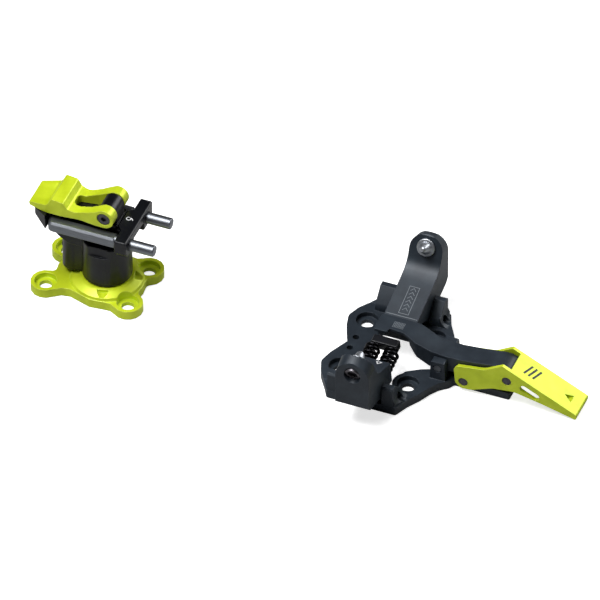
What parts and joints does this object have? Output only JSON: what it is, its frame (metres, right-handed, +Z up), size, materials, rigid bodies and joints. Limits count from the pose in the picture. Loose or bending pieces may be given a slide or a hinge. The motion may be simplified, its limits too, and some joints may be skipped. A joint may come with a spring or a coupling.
{
  "type": "touring ski binding",
  "caption": "Touring ski binding: turning heel tower with a release fork and a folding riser, and a toe unit with sprung arms, pins, a rocker bar and a step lever.",
  "frame": {"origin": "heel turret axis at the top of the ski, on the underside of the heel base", "axes": "+X to the tip of the ski, +Y to its left edge, +Z up from the ski"},
  "size_m": [0.2943, 0.1098, 0.0577],
  "materials": {
    "lime_anodised_alloy": "milled alloy, yellow-green anodising, satin",
    "anthracite_anodised_alloy": "milled alloy, anthracite anodising, satin",
    "black_anodised_alloy": "milled alloy, black anodising, satin",
    "fork_steel": "ground and passivated steel",
    "polished_pin_steel": "polished hardened steel",
    "dark_fastener_steel": "dark passivated steel",
    "black_spring_steel": "black oiled spring wire",
    "bush_polymer": "natural acetal",
    "nickel_magnet": "nickel plated magnet"
  },
  "bodies": {
    "base_plates": {"heel_base": "lime_anodised_alloy", "heel_spindle": "fork_steel", "turret_bush": "bush_polymer", "spindle_bolt": "dark_fastener_steel", "toe_base": "anthracite_anodised_alloy", "left_arm_axle": "fork_steel", "right_arm_axle": "fork_steel", "rocker_pin": "fork_steel", "lever_pin": "dark_fastener_steel"},
    "heel_turret": {"heel_housing": "black_anodised_alloy", "housing_cap": "black_anodised_alloy", "housing_magnet": "nickel_magnet", "cap_screw_rear": "dark_fastener_steel", "cap_screw_front": "dark_fastener_steel", "release_fork": "fork_steel", "fork_pin": "dark_fastener_steel", "release_plate": "black_anodised_alloy", "lateral_spring": "black_spring_steel", "lateral_adjuster": "dark_fastener_steel"},
    "lateral_release": {"lateral_plunger": "fork_steel"},
    "climbing_flap": {"heel_flap": "lime_anodised_alloy", "flap_magnet": "nickel_magnet", "flap_axle": "fork_steel", "flap_screw_left": "dark_fastener_steel", "flap_screw_right": "dark_fastener_steel"},
    "left_toe_arm": {"left_arm": "anthracite_anodised_alloy", "left_toe_pin": "polished_pin_steel"},
    "right_toe_arm": {"right_arm": "anthracite_anodised_alloy", "right_toe_pin": "polished_pin_steel", "toe_spring_rear": "black_spring_steel", "toe_spring_front": "black_spring_steel", "spring_rod_rear": "dark_fastener_steel", "spring_rod_front": "dark_fastener_steel", "spring_block": "black_anodised_alloy"},
    "toe_rocker": {"rocker_bar": "anthracite_anodised_alloy"},
    "step_lever": {"toe_lever": "lime_anodised_alloy", "cam_pin": "dark_fastener_steel"}
  },
  "joints": [
    {"name": "heel_turret_turn", "type": "hinge", "parent": "base_plates", "child": "heel_turret", "pos_m": [0, 0, 0.02], "axis": [0, 0, 1], "continuous": true},
    {"name": "heel_flap_turn", "type": "hinge", "parent": "heel_turret", "child": "climbing_flap", "pos_m": [0.0025, 0, 0.0523], "axis": [0, 1, 0], "range_deg": [0, 178]},
    {"name": "lateral_plunger_slide", "type": "slide", "parent": "heel_turret", "child": "lateral_release", "axis": [-1, 0, 0], "range_m": [0, 0.0015], "stiffness_N_per_m": 60, "deforming": ["lateral_spring"]},
    {"name": "toe_lever_turn", "type": "hinge", "parent": "base_plates", "child": "step_lever", "pos_m": [0.1949, 0, 0.0058], "axis": [0, -1, 0], "range_deg": [0, 15]},
    {"name": "rocker_turn", "type": "hinge", "parent": "base_plates", "child": "toe_rocker", "pos_m": [0.1818, 0, 0.012], "axis": [0, -1, 0], "range_deg": [0, 5.25]},
    {"name": "left_arm_turn", "type": "hinge", "parent": "base_plates", "child": "left_toe_arm", "pos_m": [0.1505, 0.031, 0.007], "axis": [1, 0, 0], "range_deg": [0, 22]},
    {"name": "right_arm_turn", "type": "hinge", "parent": "base_plates", "child": "right_toe_arm", "pos_m": [0.1505, -0.031, 0.007], "axis": [-1, 0, 0], "range_deg": [0, 22]}
  ],
  "couplings": [
    {"joint": "rocker_turn", "follows": "toe_lever_turn", "ratio": 0.35},
    {"joint": "left_arm_turn", "follows": "toe_lever_turn", "ratio": 1.4667},
    {"joint": "right_arm_turn", "follows": "toe_lever_turn", "ratio": 1.4667}
  ]
}
